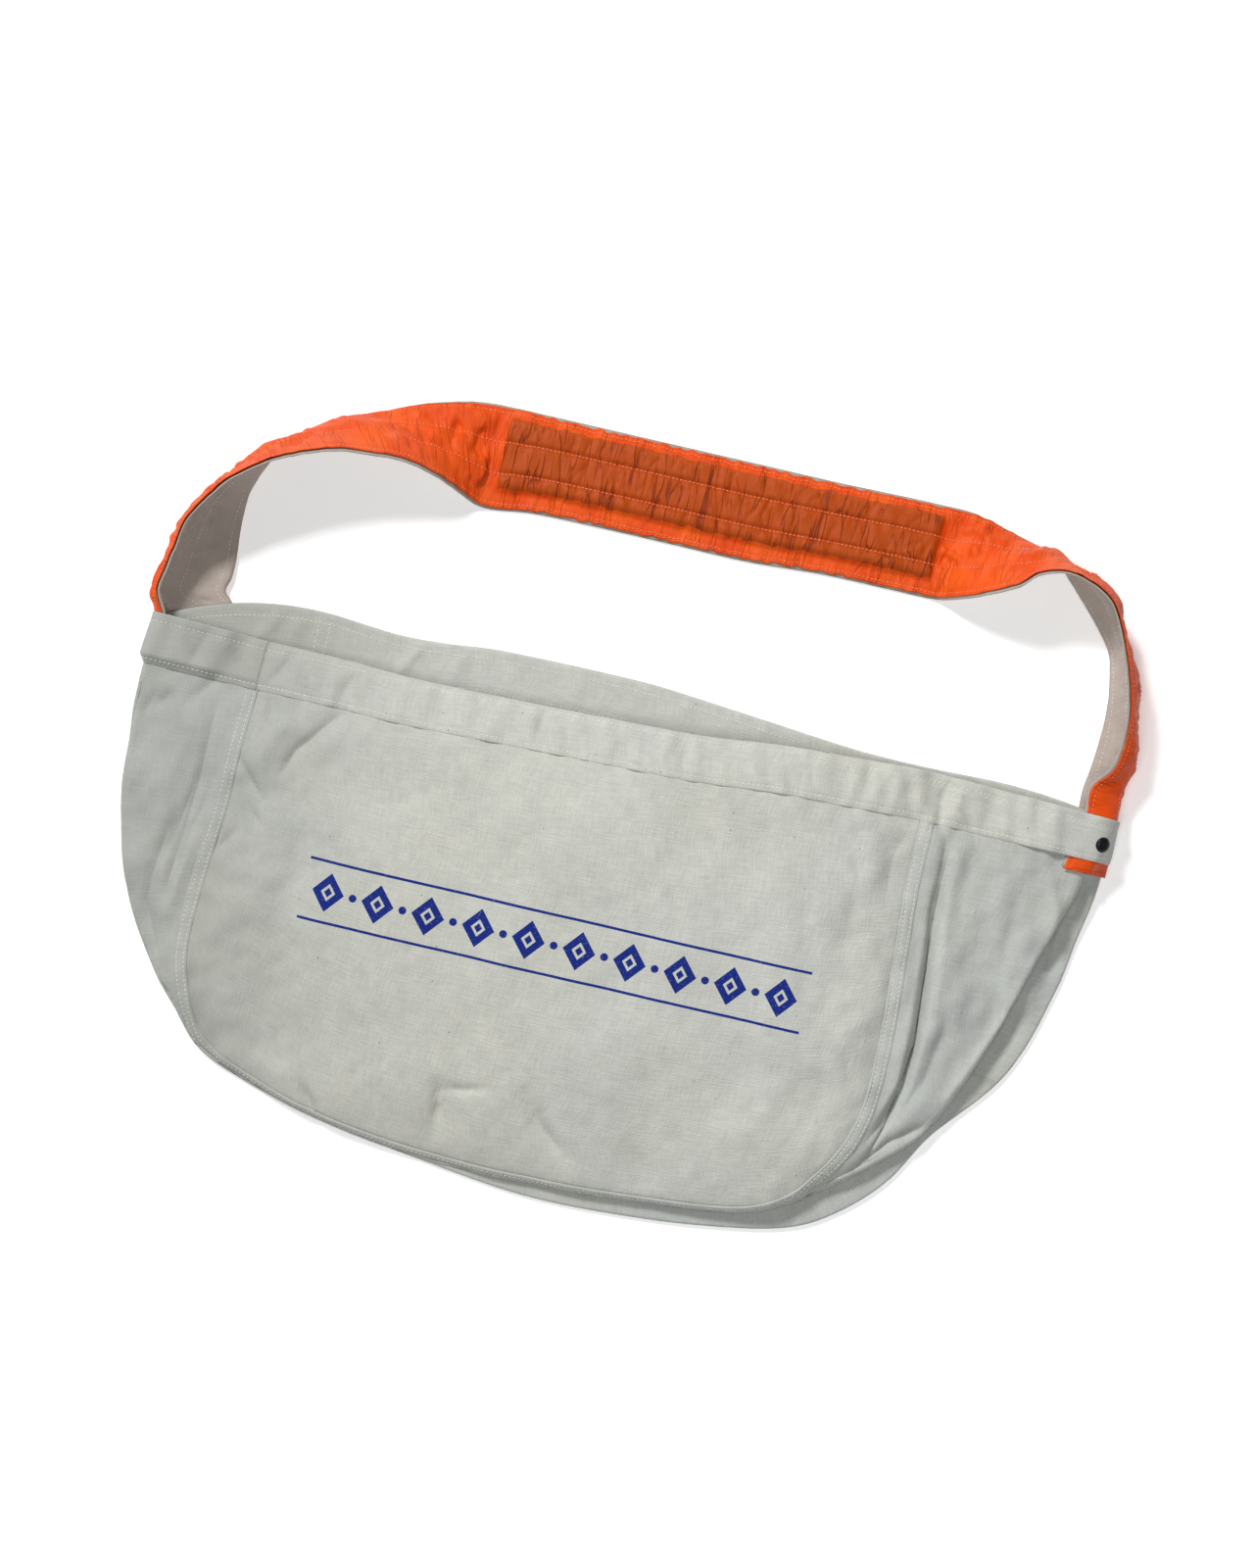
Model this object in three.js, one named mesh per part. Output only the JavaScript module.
// Newspaper delivery bag lying on its back panel, millimetres.
// +X runs along the mouth, +Y toward the strap, +Z up from the floor.
import * as THREE from "three";

// Named sizes
const panelWidth = 455;
const gussetWidth = 210;
const mouthWidth = panelWidth + gussetWidth;
const bagDrop = 320;
const mouthLine = 70;
const layHeight = 40;
const hemHeight = 31;
const strapReach = 190;
const strapWidth = 60;
const canvasThick = 1.4;
const backingThick = 1.2;
const nylonThick = 0.9;
const padThick = 5;
const clearGap = 0.35;
const seamGap = 0.45;
const backSeamGap = 0.8;
const rivetRadius = 5.2;
const rivetRise = 2.6;
const tabLength = 10;
const tabHidden = 4;

// How many steps each sheet is cut into
const sideSteps = 12;
const bottomSteps = 20;

// The gusset, station by station from the left end of the mouth round the bottom to the right end.
// across and backAcross are shares of panelWidth, down and backDown of bagDrop, heading is in degrees,
// frontFold and backFold are shares of gussetWidth, and the heights and the crease are shares of layHeight.
const gussetColumns = ["across", "down", "heading", "frontFold", "backFold", "backAcross", "backDown",
  "seamHeight", "noseHeight", "floorHeight", "backHeight", "bow", "crease"];
const gussetRows = [
  [-0.548, 0.011, 178, 0.36, 0.372, -0.462, -0.075, 0.425, 0.4, 0.135, 0.062, 0.025, 0],
  [-0.55, 0.154, 180, 0.373, 0.384, -0.463, 0.069, 0.475, 0.4, 0.135, 0.062, 0, 0.02],
  [-0.552, 0.279, 180, 0.359, 0.369, -0.468, 0.196, 0.5, 0.35, 0.0175, 0.0175, 0, 0.07],
  [-0.555, 0.387, 182, 0.336, 0.345, -0.471, 0.305, 0.5, 0.325, 0.0175, 0.0175, 0, 0.07],
  [-0.564, 0.542, 191, 0.242, 0.25, -0.479, 0.461, 0.475, 0.3, 0.0175, 0.0175, 0, 0.05],
  [-0.563, 0.665, 205, 0.137, 0.144, -0.476, 0.586, 0.45, 0.287, 0.0175, 0.0175, 0, 0.02],
  [-0.545, 0.761, 220, 0.068, 0.075, -0.459, 0.684, 0.425, 0.287, 0.0175, 0.0175, 0, 0],
  [-0.512, 0.846, 238, 0.034, 0.04, -0.424, 0.771, 0.362, 0.287, 0.0175, 0.0175, 0, 0],
  [-0.436, 0.898, 252, 0.024, 0.03, -0.346, 0.828, 0.325, 0.287, 0.0175, 0.0175, 0, 0],
  [-0.327, 0.942, 262, 0.021, 0.027, -0.237, 0.88, 0.312, 0.287, 0.0175, 0.0175, 0, 0],
  [-0.174, 0.971, 268, 0.026, 0.032, -0.083, 0.922, 0.312, 0.287, 0.0175, 0.0175, 0, 0],
  [0, 0.974, 271, 0.024, 0.068, 0.092, 0.938, 0.325, 0.3, 0.0175, 0.0175, 0, 0],
  [0.174, 0.96, 276, 0.022, 0.076, 0.267, 0.939, 0.375, 0.325, 0.0175, 0.0175, 0, 0],
  [0.304, 0.934, 285, 0.026, 0.08, 0.395, 0.914, 0.45, 0.35, 0.0175, 0.0175, 0, 0],
  [0.373, 0.886, 301, 0.036, 0.118, 0.462, 0.868, 0.525, 0.375, 0.0175, 0.0175, 0, 0],
  [0.409, 0.82, 313, 0.072, 0.164, 0.497, 0.806, 0.575, 0.388, 0.0175, 0.0175, 0, 0],
  [0.437, 0.746, 327, 0.125, 0.204, 0.526, 0.738, 0.625, 0.4, 0.0175, 0.0175, 0, 0.05],
  [0.452, 0.647, 340, 0.227, 0.257, 0.551, 0.648, 0.65, 0.4, 0.0175, 0.0175, 0, 0.15],
  [0.452, 0.493, 351, 0.335, 0.442, 0.551, 0.491, 0.675, 0.4, 0.0175, 0.0175, 0, 0.2],
  [0.444, 0.325, 357, 0.437, 0.549, 0.545, 0.319, 0.675, 0.42, 0.0175, 0.0175, 0, 0.2],
  [0.44, 0.232, 359, 0.491, 0.582, 0.539, 0.225, 0.675, 0.48, 0.03, 0.025, 0, 0.17],
  [0.438, 0.11, 360, 0.555, 0.614, 0.538, 0.1, 0.65, 0.62, 0.135, 0.062, 0, 0.05],
  [0.438, -0.035, 358, 0.598, 0.613, 0.538, -0.047, 0.63, 0.7, 0.135, 0.062, 0.006, 0],
];
// Stations whose seam points are the lower corners of both panels
const leftCornerIndex = 6;
const rightCornerIndex = 15;

// The front edge of the mouth from left to right, then the back edge.
const mouthColumns = ["across", "down", "height"];
const frontMouthRows = [
  [-0.548, 0.011, 0.425],
  [-0.434, 0.014, 0.5],
  [-0.324, 0.02, 0.575],
  [-0.216, 0.017, 0.625],
  [0, 0.008, 0.675],
  [0.108, 0.001, 0.7],
  [0.216, -0.016, 0.7],
  [0.324, -0.025, 0.675],
  [0.438, -0.035, 0.63],
];
const backMouthRows = [
  [-0.46, -0.075, 0.062],
  [-0.367, -0.065, 0.062],
  [-0.292, -0.07, 0.062],
  [-0.219, -0.081, 0.062],
  [0, -0.084, 0.062],
  [0.091, -0.075, 0.062],
  [0.228, -0.058, 0.062],
  [0.338, -0.045, 0.062],
  [0.428, -0.043, 0.062],
  [0.538, -0.047, 0.062],
];

// Folds and dents pressed into the front panel, ends and width as shares, depth as a share of layHeight.
const panelFoldColumns = ["fromAcross", "fromDown", "toAcross", "toDown", "width", "depth"];
const panelFoldRows = [
  [-0.438, 0.24, -0.424, 0.82, 0.032, -0.06],
  [-0.482, 0.03, -0.468, 0.3, 0.029, -0.07],
  [-0.146, 0.84, -0.146, 0.92, 0.029, -0.07],
  [0.146, 0.7, 0.132, 0.95, 0.044, -0.04],
  [0.19, 0.03, 0.234, 0.5, 0.044, -0.03],
];
const crownHeight = 0.42;

// The strap from the left foot to the right foot. near, middle and far are points across its width:
// across is a share of mouthWidth, up of strapReach above the mouth line, and height of strapWidth.
const strapColumns = ["nearAcross", "nearUp", "nearHeight", "midAcross", "midUp", "midHeight",
  "farAcross", "farUp", "farHeight", "pad"];
const strapRows = [
  [-0.493, 0.075, 0.4, -0.489, 0.085, 0.14, -0.435, 0.13, 0.05, 0],
  [-0.489, 0.151, 0.45, -0.487, 0.161, 0.15, -0.432, 0.18, 0.042, 0],
  [-0.484, 0.243, 0.517, -0.484, 0.25, 0.167, -0.432, 0.252, 0.042, 0],
  [-0.477, 0.334, 0.617, -0.477, 0.348, 0.2, -0.434, 0.341, 0.042, 0],
  [-0.458, 0.428, 0.75, -0.465, 0.439, 0.317, -0.435, 0.42, 0.042, 0],
  [-0.44, 0.502, 0.833, -0.448, 0.52, 0.4, -0.434, 0.494, 0.042, 0],
  [-0.418, 0.561, 0.883, -0.428, 0.591, 0.433, -0.425, 0.583, 0.042, 0],
  [-0.394, 0.611, 0.9, -0.409, 0.658, 0.45, -0.41, 0.677, 0.042, 0],
  [-0.342, 0.683, 0.883, -0.361, 0.762, 0.417, -0.371, 0.793, 0.042, 0],
  [-0.311, 0.696, 0.817, -0.335, 0.79, 0.367, -0.347, 0.83, 0.042, 0],
  [-0.277, 0.699, 0.717, -0.302, 0.809, 0.3, -0.312, 0.882, 0.042, 0],
  [-0.247, 0.686, 0.533, -0.268, 0.822, 0.233, -0.279, 0.93, 0.042, 0],
  [-0.223, 0.659, 0.267, -0.239, 0.816, 0.133, -0.245, 0.967, 0.037, 0],
  [-0.204, 0.635, 0.07, -0.209, 0.81, 0.04, -0.215, 0.985, 0.027, 0],
  [-0.188, 0.634, 0.027, -0.19, 0.81, 0.027, -0.19, 0.988, 0.027, 1],
  [-0.15, 0.652, 0.027, -0.152, 0.82, 0.027, -0.153, 0.988, 0.027, 1],
  [-0.075, 0.657, 0.027, -0.075, 0.823, 0.027, -0.075, 0.988, 0.027, 1],
  [0, 0.657, 0.027, 0, 0.823, 0.027, 0, 0.988, 0.027, 1],
  [0.075, 0.657, 0.027, 0.075, 0.823, 0.027, 0.075, 0.988, 0.027, 1],
  [0.15, 0.673, 0.027, 0.15, 0.83, 0.027, 0.15, 0.988, 0.027, 1],
  [0.225, 0.675, 0.027, 0.225, 0.836, 0.027, 0.225, 0.993, 0.027, 1],
  [0.257, 0.675, 0.027, 0.258, 0.836, 0.027, 0.259, 0.993, 0.027, 1],
  [0.271, 0.677, 0.06, 0.274, 0.835, 0.04, 0.278, 0.993, 0.027, 0],
  [0.289, 0.688, 0.333, 0.294, 0.844, 0.2, 0.3, 0.982, 0.037, 0],
  [0.314, 0.714, 0.6, 0.322, 0.849, 0.333, 0.329, 0.956, 0.042, 0],
  [0.338, 0.752, 0.8, 0.35, 0.859, 0.45, 0.356, 0.93, 0.042, 0],
  [0.355, 0.809, 0.9, 0.372, 0.895, 0.467, 0.377, 0.909, 0.042, 0],
  [0.378, 0.832, 0.95, 0.393, 0.874, 0.467, 0.393, 0.861, 0.042, 0],
  [0.401, 0.817, 0.95, 0.418, 0.822, 0.467, 0.414, 0.793, 0.042, 0],
  [0.428, 0.768, 0.917, 0.44, 0.756, 0.45, 0.437, 0.704, 0.042, 0],
  [0.441, 0.708, 0.883, 0.452, 0.689, 0.433, 0.452, 0.63, 0.042, 0],
  [0.452, 0.628, 0.85, 0.466, 0.608, 0.4, 0.459, 0.562, 0.042, 0],
  [0.463, 0.528, 0.8, 0.476, 0.506, 0.333, 0.464, 0.473, 0.042, 0],
  [0.472, 0.413, 0.733, 0.487, 0.394, 0.25, 0.465, 0.383, 0.042, 0],
  [0.475, 0.297, 0.65, 0.494, 0.291, 0.233, 0.464, 0.294, 0.042, 0],
  [0.471, 0.207, 0.567, 0.493, 0.202, 0.25, 0.462, 0.205, 0.042, 0],
  [0.456, 0.137, 0.517, 0.491, 0.124, 0.267, 0.459, 0.131, 0.05, 0],
];
// Where the strap's points lie across its width, on the free length and over the pad
const freeShares = [0, 0.1, 0.2, 0.3, 0.4, 0.5, 0.6, 0.7, 0.8, 0.9, 1];
const padShares = [0, 0.1, 0.19, 0.26, 0.4, 0.55, 0.7, 0.82, 0.9, 0.96, 1];
const padFirstIndex = 2;
const padLastIndex = 8;
// The strap's ends under the hem: how far the near and the far edge lie from the outer fold of the gusset
const footColumns = ["near", "far"];
const footRows = [
  [0.3, 0.7],
  [0.5, 0.5],
];

const rad = THREE.MathUtils.degToRad;
const clamp = THREE.MathUtils.clamp;
const lerp = THREE.MathUtils.lerp;
const smooth = THREE.MathUtils.smoothstep;
const point = (x, y, z) => new THREE.Vector3(x, y, z);

// A table row as an object keyed by its column names
function keyed(columns, values) {
  return Object.fromEntries(columns.map((name, i) => [name, values[i]]));
}

// Values of a table between its rows, on a smooth curve through them
function between(rows, knots, at) {
  const last = rows.length - 1;
  let k = 0;
  while (k < last - 1 && knots[k + 1] < at) k += 1;
  const span = knots[k + 1] - knots[k];
  const t = clamp((at - knots[k]) / span, 0, 1);
  const slope = (i, c) => {
    const a = Math.max(i - 1, 0);
    const b = Math.min(i + 1, last);
    return (rows[b][c] - rows[a][c]) / (knots[b] - knots[a]);
  };
  return rows[k].map((v, c) => {
    const p0 = v;
    const p1 = rows[k + 1][c];
    const m0 = slope(k, c) * span;
    const m1 = slope(k + 1, c) * span;
    const t2 = t * t;
    const t3 = t2 * t;
    return (2 * t3 - 3 * t2 + 1) * p0 + (t3 - 2 * t2 + t) * m0 + (3 * t2 - 2 * t3) * p1 + (t3 - t2) * m1;
  });
}

function planKnots(rows) {
  const knots = [0];
  for (let i = 1; i < rows.length; i += 1) {
    const dx = (rows[i][0] - rows[i - 1][0]) * panelWidth;
    const dy = (rows[i][1] - rows[i - 1][1]) * bagDrop;
    knots.push(knots[i - 1] + Math.hypot(dx, dy));
  }
  return knots;
}

const gussetKnots = planKnots(gussetRows);
const gussetLength = gussetKnots[gussetKnots.length - 1];
const frontMouthKnots = planKnots(frontMouthRows);
const backMouthKnots = planKnots(backMouthRows);

// The gusset's cross-section at a distance along its front seam, on the middle of the cloth:
// seam, crease, front fold, tuck, back fold and back seam.
const tuckTop = 6.1;
const tuckBottom = 3.3;
const tuckLeast = 4.4;
const pleatLimit = 0.33;
const creaseAt = 23;
const creaseHalfWidth = 4.5;
const creaseReach = 20;
const foldRadiusLeast = 1.4;
const foldRadiusMost = 9;
const legEdge = 6;
function gussetSection(at) {
  const r = keyed(gussetColumns, between(gussetRows, gussetKnots, at));
  const c = Math.cos(rad(r.heading));
  const s = Math.sin(rad(r.heading));
  const seamX = r.across * panelWidth;
  const seamY = mouthLine - r.down * bagDrop;
  const backX = r.backAcross * panelWidth;
  const backY = mouthLine - r.backDown * bagDrop;
  const half = canvasThick / 2;
  const front = r.frontFold * gussetWidth - half;
  const back = r.backFold * gussetWidth - half;
  const backSeam = (backX - seamX) * c + (backY - seamY) * s;
  const free = front + back - (backSeam + gussetWidth) / 2;
  const tuck = clamp(free, -pleatLimit * gussetWidth, Math.min(front, back) - tuckLeast);
  const seamZ = r.seamHeight * layHeight;
  const noseZ = r.noseHeight * layHeight;
  const floorZ = Math.max(r.floorHeight * layHeight, half);
  const on = (d, z) => point(seamX + c * d, seamY + s * d, z);
  const noseR = clamp((noseZ - floorZ - tuckTop) / 2, foldRadiusLeast, Math.min(foldRadiusMost, front * 0.6));
  const lowR = tuckBottom / 2;
  const tuckR = (tuckTop - tuckBottom) / 2;
  const legEnd = front - noseR;
  const creaseD = Math.min(creaseAt, legEnd * 0.45);
  const creaseW = Math.min(creaseHalfWidth, creaseD * 0.5);
  const legZ = (d) => seamZ + (noseZ - seamZ) * Math.pow(d / legEnd, 1.5);
  const dip = r.crease * layHeight * smooth(creaseD, legEdge, creaseReach);
  const middle = (creaseD + creaseW + legEnd) / 2;
  const nearNose = Math.max(middle * 1.02, legEnd - 0.3 * (legEnd - middle) - legEdge);
  const out = [on(0, seamZ), on(creaseD - creaseW, legZ(creaseD - creaseW)), on(creaseD, legZ(creaseD) - dip),
    on(creaseD + creaseW, legZ(creaseD + creaseW)), on(middle, legZ(middle)),
    on(Math.min(nearNose, legEnd - 0.1 * (legEnd - middle)), legZ(Math.min(nearNose, legEnd)))];
  const noseStart = out.length;
  for (const a of [90, 45, 0, -45, -90]) {
    out.push(on(legEnd + noseR * Math.cos(rad(a)), noseZ - noseR + noseR * Math.sin(rad(a))));
  }
  const tuckZ = floorZ + (tuckTop + tuckBottom) / 2;
  for (const a of [90, 0, -90]) {
    out.push(on(tuck + tuckR - tuckR * Math.cos(rad(a)), tuckZ + tuckR * Math.sin(rad(a))));
  }
  const lowStart = out.length;
  for (const a of [90, 45, 0, -45, -90]) {
    out.push(on(back - lowR + lowR * Math.cos(rad(a)), floorZ + lowR + lowR * Math.sin(rad(a))));
  }
  const from = out[out.length - 1];
  const to = point(backX, backY, Math.max(r.backHeight * layHeight, half));
  for (const t of [0.3, 0.5, 0.75, 1]) {
    const p = from.clone().lerp(to, t);
    p.z = lerp(from.z, to.z, smooth(t, 0.5, 1));
    p.y += r.bow * bagDrop * 4 * t * (1 - t);
    out.push(p);
  }
  return { points: out, noseStart, lowStart, heading: point(c, s, 0) };
}

// Stations along the gusset: the first ones follow the hem
const hemStops = [0, hemHeight / 2, hemHeight, hemHeight + tabLength + 1];
function sideStops(length) {
  const stops = [...hemStops];
  const rest = sideSteps - (hemStops.length - 1);
  const first = hemStops[hemStops.length - 1];
  for (let i = 1; i <= rest; i += 1) stops.push(first + ((length - first) * i) / rest);
  return stops;
}
const leftLength = gussetKnots[leftCornerIndex];
const rightLength = gussetLength - gussetKnots[rightCornerIndex];
const leftStops = sideStops(leftLength);
const rightStops = sideStops(rightLength).map((d) => gussetLength - d);
const bottomStops = [];
for (let i = 0; i <= bottomSteps; i += 1) {
  bottomStops.push(lerp(gussetKnots[leftCornerIndex], gussetKnots[rightCornerIndex], i / bottomSteps));
}
const stations = [...leftStops, ...bottomStops.slice(1, -1), ...[...rightStops].reverse()];

// Normals of a grid of points, rows by columns
function gridNormals(grid, closed) {
  const rows = grid.length;
  const cols = grid[0].length;
  return grid.map((line, i) => line.map((p, j) => {
    const up = grid[Math.max(i - 1, 0)][j];
    const down = grid[Math.min(i + 1, rows - 1)][j];
    const left = closed ? line[(j + cols - 1) % cols] : line[Math.max(j - 1, 0)];
    const right = closed ? line[(j + 1) % cols] : line[Math.min(j + 1, cols - 1)];
    const a = right.clone().sub(left).normalize();
    const b = down.clone().sub(up).normalize();
    return a.cross(b).normalize();
  }));
}

function offsetGrid(grid, normals, amount) {
  return grid.map((line, i) => line.map((p, j) => {
    const by = typeof amount === "function" ? amount(i, j) : amount;
    return p.clone().addScaledVector(normals[i][j], by);
  }));
}

// One closed body between two matching grids of points
function shellBetween(top, bottom, closed) {
  const rows = top.length;
  const cols = top[0].length;
  const place = [];
  for (const grid of [top, bottom]) {
    for (const line of grid) {
      for (const p of line) place.push(p.x, p.y, p.z);
    }
  }
  const under = rows * cols;
  const at = (i, j) => i * cols + (j % cols);
  const faces = [];
  const quad = (a, b, c, d) => faces.push(a, b, c, a, c, d);
  const wide = closed ? cols : cols - 1;
  for (let i = 0; i < rows - 1; i += 1) {
    for (let j = 0; j < wide; j += 1) {
      quad(at(i, j), at(i, j + 1), at(i + 1, j + 1), at(i + 1, j));
      quad(under + at(i, j), under + at(i + 1, j), under + at(i + 1, j + 1), under + at(i, j + 1));
    }
  }
  for (let j = 0; j < wide; j += 1) {
    quad(at(0, j), under + at(0, j), under + at(0, j + 1), at(0, j + 1));
    quad(at(rows - 1, j), at(rows - 1, j + 1), under + at(rows - 1, j + 1), under + at(rows - 1, j));
  }
  if (!closed) {
    for (let i = 0; i < rows - 1; i += 1) {
      quad(at(i, 0), at(i + 1, 0), under + at(i + 1, 0), under + at(i, 0));
      quad(at(i, cols - 1), under + at(i, cols - 1), under + at(i + 1, cols - 1), at(i + 1, cols - 1));
    }
  }
  const geometry = new THREE.BufferGeometry();
  geometry.setAttribute("position", new THREE.Float32BufferAttribute(place, 3));
  geometry.setIndex(faces);
  if (volumeOf(geometry) < 0) {
    for (let k = 0; k < faces.length; k += 3) [faces[k + 1], faces[k + 2]] = [faces[k + 2], faces[k + 1]];
    geometry.setIndex(faces);
  }
  geometry.computeVertexNormals();
  return geometry;
}

function volumeOf(geometry) {
  const place = geometry.getAttribute("position");
  const index = geometry.getIndex();
  const a = new THREE.Vector3();
  const b = new THREE.Vector3();
  const c = new THREE.Vector3();
  let sum = 0;
  for (let k = 0; k < index.count; k += 3) {
    a.fromBufferAttribute(place, index.getX(k));
    b.fromBufferAttribute(place, index.getX(k + 1));
    c.fromBufferAttribute(place, index.getX(k + 2));
    sum += a.dot(b.cross(c)) / 6;
  }
  return sum;
}

function sheet(grid, thick) {
  const normals = gridNormals(grid, false);
  return shellBetween(offsetGrid(grid, normals, thick / 2), offsetGrid(grid, normals, -thick / 2), false);
}

// A patch between a left, a right, a top and a bottom edge that share their corners
function patch(left, right, top, bottom, downShares, acrossShares) {
  return downShares.map((v, i) => acrossShares.map((u, j) => {
    const p = left[i].clone().multiplyScalar(1 - u).addScaledVector(right[i], u);
    p.addScaledVector(top[j], 1 - v).addScaledVector(bottom[j], v);
    p.addScaledVector(top[0], -(1 - u) * (1 - v)).addScaledVector(top[top.length - 1], -u * (1 - v));
    p.addScaledVector(bottom[0], -(1 - u) * v).addScaledVector(bottom[bottom.length - 1], -u * v);
    return p;
  }));
}

// Each inner column is walked again so that its first rows lie as far below the mouth as at the sides
function evenHem(grid) {
  const cols = grid[0].length;
  const first = hemStops.length - 1;
  const rows = grid.length - 1;
  const made = grid.map((line) => line.map((p) => p.clone()));
  for (let j = 1; j < cols - 1; j += 1) {
    const reach = [0];
    for (let i = 1; i <= rows; i += 1) reach.push(reach[i - 1] + grid[i][j].distanceTo(grid[i - 1][j]));
    const total = reach[rows];
    for (let i = 1; i < rows; i += 1) {
      const below = ((total - hemStops[first]) * (i - first)) / (rows - first);
      const wanted = i <= first ? hemStops[i] : hemStops[first] + below;
      let k = 0;
      while (k < rows - 1 && reach[k + 1] < wanted) k += 1;
      made[i][j].copy(grid[k][j]).lerp(grid[k + 1][j], (wanted - reach[k]) / (reach[k + 1] - reach[k]));
    }
  }
  return made;
}

const acrossShares = Array.from({ length: bottomSteps + 1 }, (_, i) => i / bottomSteps);
const downShares = leftStops.map((d) => d / leftLength);

// An edge through a mouth table, moved a little so that it ends on both panel corners
function mouthEdge(rows, knots, first, last) {
  const length = knots[knots.length - 1];
  const place = (u) => {
    const r = keyed(mouthColumns, between(rows, knots, u * length));
    return point(r.across * panelWidth, mouthLine - r.down * bagDrop, r.height * layHeight);
  };
  const startShift = first.clone().sub(place(0));
  const endShift = last.clone().sub(place(1));
  return acrossShares.map((u) => place(u).addScaledVector(startShift, 1 - u).addScaledVector(endShift, u));
}

function seamPoint(at) {
  const section = gussetSection(at);
  return section.points[0].clone().addScaledVector(section.heading, -seamGap);
}

function backSeamPoint(at) {
  const section = gussetSection(at);
  const last = section.points[section.points.length - 1];
  return last.clone().addScaledVector(section.heading, -backSeamGap);
}

function foldDepth(x, y) {
  let sum = 0;
  for (const values of panelFoldRows) {
    const f = keyed(panelFoldColumns, values);
    const ax = f.fromAcross * panelWidth;
    const ay = mouthLine - f.fromDown * bagDrop;
    const bx = f.toAcross * panelWidth;
    const by = mouthLine - f.toDown * bagDrop;
    const long = Math.hypot(bx - ax, by - ay);
    const t = ((x - ax) * (bx - ax) + (y - ay) * (by - ay)) / (long * long);
    const off = Math.hypot(x - lerp(ax, bx, clamp(t, 0, 1)), y - lerp(ay, by, clamp(t, 0, 1)));
    sum += f.depth * layHeight * Math.exp(-Math.pow(off / (f.width * panelWidth), 2));
  }
  return sum;
}

// Front panel, lifted into a low pillow
const frontLeft = leftStops.map(seamPoint);
const frontRight = rightStops.map(seamPoint);
const frontTop = mouthEdge(frontMouthRows, frontMouthKnots, frontLeft[0], frontRight[0]);
const frontBottom = bottomStops.map(seamPoint);
const frontGrid = evenHem(patch(frontLeft, frontRight, frontTop, frontBottom, downShares, acrossShares));
frontGrid.forEach((line, i) => line.forEach((p, j) => {
  const u = acrossShares[j];
  const v = downShares[i];
  const wide = Math.pow(Math.sin(Math.PI * u), 0.6);
  const long = Math.pow(Math.sin(Math.PI * Math.pow(v, 0.8)), 0.6);
  const inside = smooth(Math.min(u, 1 - u, v * 0.6, 1 - v), 0, 0.08);
  if (u > 0 && u < 1 && v > 0 && v < 1) {
    p.z += crownHeight * layHeight * wide * long + foldDepth(p.x, p.y) * inside;
  }
}));
const frontNormals = gridNormals(frontGrid, false);

// Back panel, flat on the floor but for the hem under its upper edge
const backLeft = leftStops.map(backSeamPoint);
const backRight = rightStops.map(backSeamPoint);
const backTop = mouthEdge(backMouthRows, backMouthKnots, backLeft[0], backRight[0]);
const backBottom = bottomStops.map(backSeamPoint);
const backGrid = evenHem(patch(backLeft, backRight, backTop, backBottom, downShares, acrossShares));
const backNormals = gridNormals(backGrid, false);

// Gusset
const gussetGrid = stations.map((at) => gussetSection(at).points);

// Points round the outer fold of the gusset, without the tuck, with their outward directions
function foldPath(at) {
  const section = gussetSection(at);
  const p = section.points;
  const picked = [...p.slice(1, section.noseStart + 3), ...p.slice(section.lowStart + 1, -1)];
  const split = section.noseStart - 1 + 2.5;
  const along = point(0, 0, 1).cross(section.heading).normalize();
  const outward = picked.map((q, i) => {
    const a = picked[Math.max(i - 1, 0)];
    const b = picked[Math.min(i + 1, picked.length - 1)];
    return along.clone().cross(b.clone().sub(a)).normalize();
  });
  if (outward[0].z < 0) outward.forEach((n) => n.negate());
  const reach = [0];
  for (let i = 1; i < picked.length; i += 1) reach.push(reach[i - 1] + picked[i].distanceTo(picked[i - 1]));
  const low = Math.floor(split);
  const centre = (reach[low] + reach[low + 1]) / 2;
  return { picked, outward, reach: reach.map((d) => d - centre), low };
}

const strapStack = backingThick + 0.3 + nylonThick;
const hemOver = canvasThick + clearGap;
// How far the hem's middle stands off the cloth under it, wider over the strap ends
function hemStandOff(fromFold) {
  const front = smooth(fromFold, -62, -46);
  const back = 1 - smooth(fromFold, 64, 78);
  return hemOver + (strapStack + clearGap + 0.15) * front * back;
}

// Hem band: one ring of cloth round the mouth
const hemGrid = [0, 1, 2].map((row) => {
  const loop = [];
  frontGrid[row].forEach((p, j) => loop.push(p.clone().addScaledVector(frontNormals[row][j], frontSign() * hemOver)));
  const right = foldPath(rightStops[row]);
  right.picked.forEach((p, i) => loop.push(p.clone().addScaledVector(right.outward[i], hemStandOff(right.reach[i]))));
  [...backGrid[row].keys()].reverse().forEach((j) => {
    loop.push(backGrid[row][j].clone().addScaledVector(backNormals[row][j], -backSign() * hemOver));
  });
  const left = foldPath(leftStops[row]);
  [...left.picked.keys()].reverse().forEach((i) => {
    loop.push(left.picked[i].clone().addScaledVector(left.outward[i], hemStandOff(left.reach[i])));
  });
  return loop;
});
function frontSign() {
  return Math.sign(frontNormals[3][5].z);
}
function backSign() {
  return Math.sign(backNormals[3][5].z);
}
const hemNormals = gridNormals(hemGrid, true);
const hemGeometry = shellBetween(
  offsetGrid(hemGrid, hemNormals, canvasThick / 2),
  offsetGrid(hemGrid, hemNormals, -canvasThick / 2),
  true,
);

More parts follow.
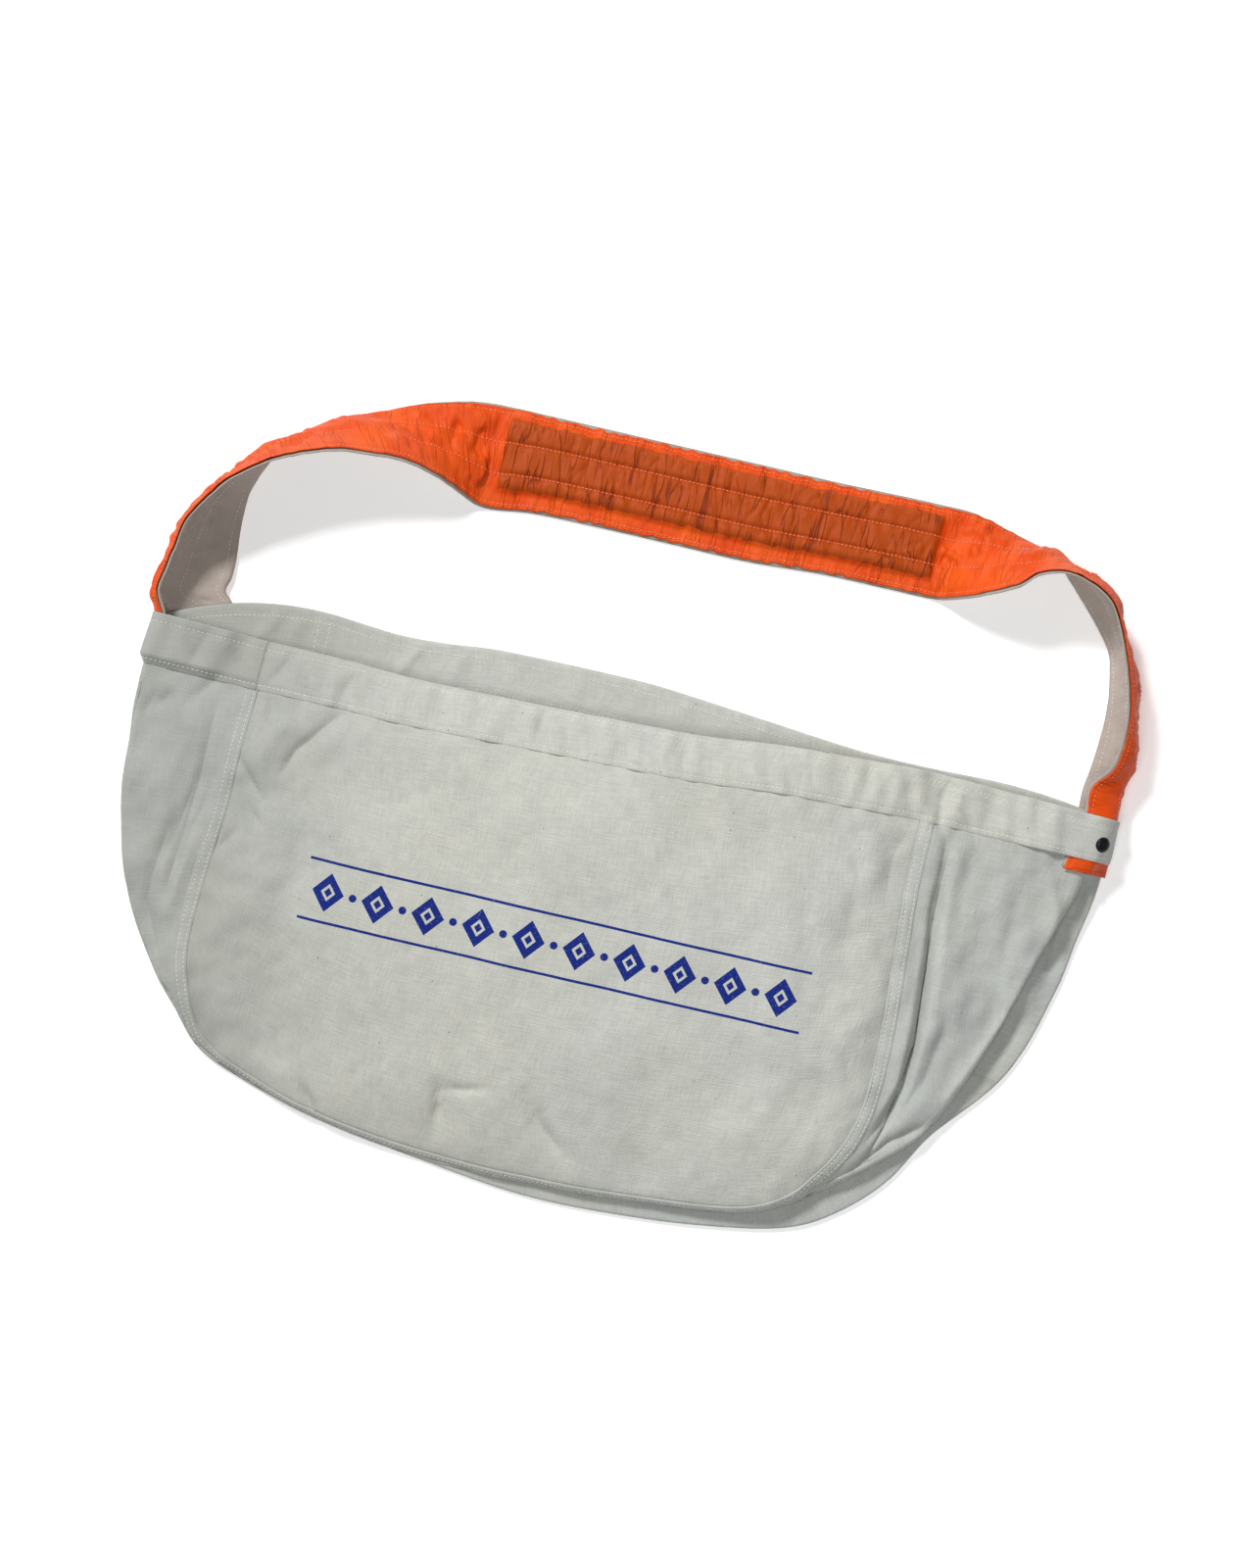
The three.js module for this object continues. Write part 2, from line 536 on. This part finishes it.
// Strap: its middle plane, station by station, from the near edge to the far edge
function footLine(at, foot) {
  const path = foldPath(at);
  const standOff = canvasThick / 2 + clearGap + backingThick + 0.15;
  const line = path.picked.map((p, i) => p.clone().addScaledVector(path.outward[i], standOff));
  const pickAt = (d) => {
    let k = 0;
    while (k < line.length - 2 && path.reach[k + 1] < d) k += 1;
    const t = (d - path.reach[k]) / (path.reach[k + 1] - path.reach[k]);
    return line[k].clone().lerp(line[k + 1], t);
  };
  const near = -foot.near * strapWidth;
  const far = foot.far * strapWidth;
  const lowReach = path.reach[path.low];
  const noseStartReach = path.reach[path.low - 2];
  const noseMiddleReach = path.reach[path.low - 1];
  const r = path.reach;
  return [pickAt(near), pickAt((near + noseStartReach) / 2), pickAt(noseStartReach), pickAt(noseMiddleReach),
    pickAt(lowReach), pickAt(r[path.low + 1]), pickAt(r[path.low + 2]), pickAt(r[path.low + 3]),
    pickAt(r[path.low + 4]), pickAt(lerp(r[path.low + 4], far, 0.5)), pickAt(far)];
}

function freeLine(values) {
  const r = keyed(strapColumns, values);
  const place = (a, u, h) => point(a * mouthWidth, mouthLine + u * strapReach, h * strapWidth);
  const near = place(r.nearAcross, r.nearUp, r.nearHeight);
  const middle = place(r.midAcross, r.midUp, r.midHeight);
  const far = place(r.farAcross, r.farUp, r.farHeight);
  const pull = middle.clone().multiplyScalar(2).addScaledVector(near, -0.5).addScaledVector(far, -0.5);
  const shares = r.pad > 0.5 ? padShares : freeShares;
  return shares.map((t) => {
    const p = near.clone().multiplyScalar((1 - t) * (1 - t));
    return p.addScaledVector(pull, 2 * t * (1 - t)).addScaledVector(far, t * t);
  });
}

const leftFoot = keyed(footColumns, footRows[0]);
const rightFoot = keyed(footColumns, footRows[1]);
const leftFootStops = [hemHeight - tabHidden, hemHeight / 2, 0];
const rightFootStops = [0, hemHeight / 2, hemHeight, hemHeight + tabLength];
const strapGrid = [
  ...leftFootStops.map((d) => footLine(d, leftFoot)),
  ...strapRows.map(freeLine),
  ...rightFootStops.map((d) => footLine(gussetLength - d, rightFoot)),
];
const footCount = leftFootStops.length;
const padRowAt = (i) => i >= footCount && i < footCount + strapRows.length && strapRows[i - footCount][9] > 0.5;
const strapNormals = gridNormals(strapGrid, false);
const middleRow = Math.floor(strapGrid.length / 2);
const strapUp = Math.sign(strapNormals[middleRow][5].z);
strapNormals.forEach((line) => line.forEach((n) => n.multiplyScalar(strapUp)));

const backingMiddle = -(0.15 + backingThick / 2);
const backingGeometry = shellBetween(
  offsetGrid(strapGrid, strapNormals, backingMiddle + backingThick / 2),
  offsetGrid(strapGrid, strapNormals, backingMiddle - backingThick / 2),
  false,
);

// The pad lifts the face away from the backing
const padProfile = (j) => (j > padFirstIndex && j < padLastIndex ? 1 : 0.72);
const padRows = strapGrid.map((_, i) => i).filter(padRowAt);
const padStartRow = padRows[0];
const padEndRow = padRows[padRows.length - 1];
function lift(i, j) {
  if (!padRowAt(i) || j < padFirstIndex || j > padLastIndex) return 0;
  const end = i === padStartRow || i === padEndRow ? 0.72 : 1;
  return padThick * padProfile(j) * end + clearGap + 0.15;
}
const faceGeometry = shellBetween(
  offsetGrid(strapGrid, strapNormals, (i, j) => 0.15 + nylonThick + lift(i, j)),
  offsetGrid(strapGrid, strapNormals, (i, j) => 0.15 + lift(i, j)),
  false,
);

function padGrid(amount) {
  return padRows.map((i, k) => {
    const line = [];
    for (let j = padFirstIndex; j <= padLastIndex; j += 1) {
      const p = strapGrid[i][j].clone().addScaledVector(strapNormals[i][j], amount(i, j));
      if (k === 0) p.x += 1;
      if (k === padRows.length - 1) p.x -= 1;
      if (j === padFirstIndex) p.y += 1;
      if (j === padLastIndex) p.y -= 1;
      line.push(p);
    }
    return line;
  });
}
const padGeometry = shellBetween(
  padGrid((i, j) => lift(i, j) - clearGap + 0.1),
  padGrid(() => 0.15),
  false,
);

// Rivet: a low dome on the hem over the right end of the strap. The stops are shares of hemHeight down the hem.
const rivetStops = [0.25, 0.58, 0.9];
const rivetShare = 0.6;
const rivetLift = 0.35;
function rivetMesh() {
  const profile = [new THREE.Vector2(0, 0), new THREE.Vector2(rivetRadius, 0), new THREE.Vector2(rivetRadius, 0.7)];
  for (const a of [25, 45, 65, 82]) {
    profile.push(new THREE.Vector2(rivetRadius * Math.cos(rad(a)), 0.7 + (rivetRise - 0.7) * Math.sin(rad(a))));
  }
  profile.push(new THREE.Vector2(0, rivetRise));
  const geometry = new THREE.LatheGeometry(profile, 24);
  const standOff = hemOver + strapStack + clearGap + canvasThick / 2 + clearGap + rivetLift;
  const [above, at, below] = rivetStops.map((share) => {
    const path = foldPath(gussetLength - hemHeight * share);
    const line = path.picked.map((p, i) => p.clone().addScaledVector(path.outward[i], standOff));
    return { start: line[path.low - 2], end: line[path.low - 1] };
  });
  const spot = at.start.clone().lerp(at.end, rivetShare);
  const across = at.end.clone().sub(at.start);
  const along = above.start.clone().lerp(above.end, rivetShare).sub(below.start.clone().lerp(below.end, rivetShare));
  const outward = across.cross(along).normalize();
  if (outward.z < 0) outward.negate();
  geometry.applyQuaternion(new THREE.Quaternion().setFromUnitVectors(point(0, 1, 0), outward));
  geometry.translate(spot.x, spot.y, spot.z);
  return geometry;
}

const group = new THREE.Group();
group.name = "newspaper_delivery_bag";
function add(name, geometry, colour, roughness) {
  const mesh = new THREE.Mesh(geometry, new THREE.MeshStandardMaterial({ color: colour, roughness }));
  mesh.name = name;
  group.add(mesh);
}
add("front_panel", sheet(frontGrid, canvasThick), "#c5c6be", 0.9);
add("back_panel", sheet(backGrid, canvasThick), "#c5c6be", 0.9);
add("gusset", sheet(gussetGrid, canvasThick), "#c0c2ba", 0.9);
add("hem_band", hemGeometry, "#c9cac2", 0.9);
add("strap_face", faceGeometry, "#e8561e", 0.6);
add("strap_backing", backingGeometry, "#c9c4ba", 0.9);
add("shoulder_pad", padGeometry, "#d8d2c0", 0.9);
add("rivet_right", rivetMesh(), "#101012", 0.35);

// The whole bag is moved so that the origin is the bottom centre of its box
const box = new THREE.Box3();
group.children.forEach((mesh) => {
  mesh.geometry.computeBoundingBox();
  box.union(mesh.geometry.boundingBox);
});
const shift = point(-(box.min.x + box.max.x) / 2, -(box.min.y + box.max.y) / 2, -box.min.z);
group.children.forEach((mesh) => mesh.geometry.translate(shift.x, shift.y, shift.z));

export default group;
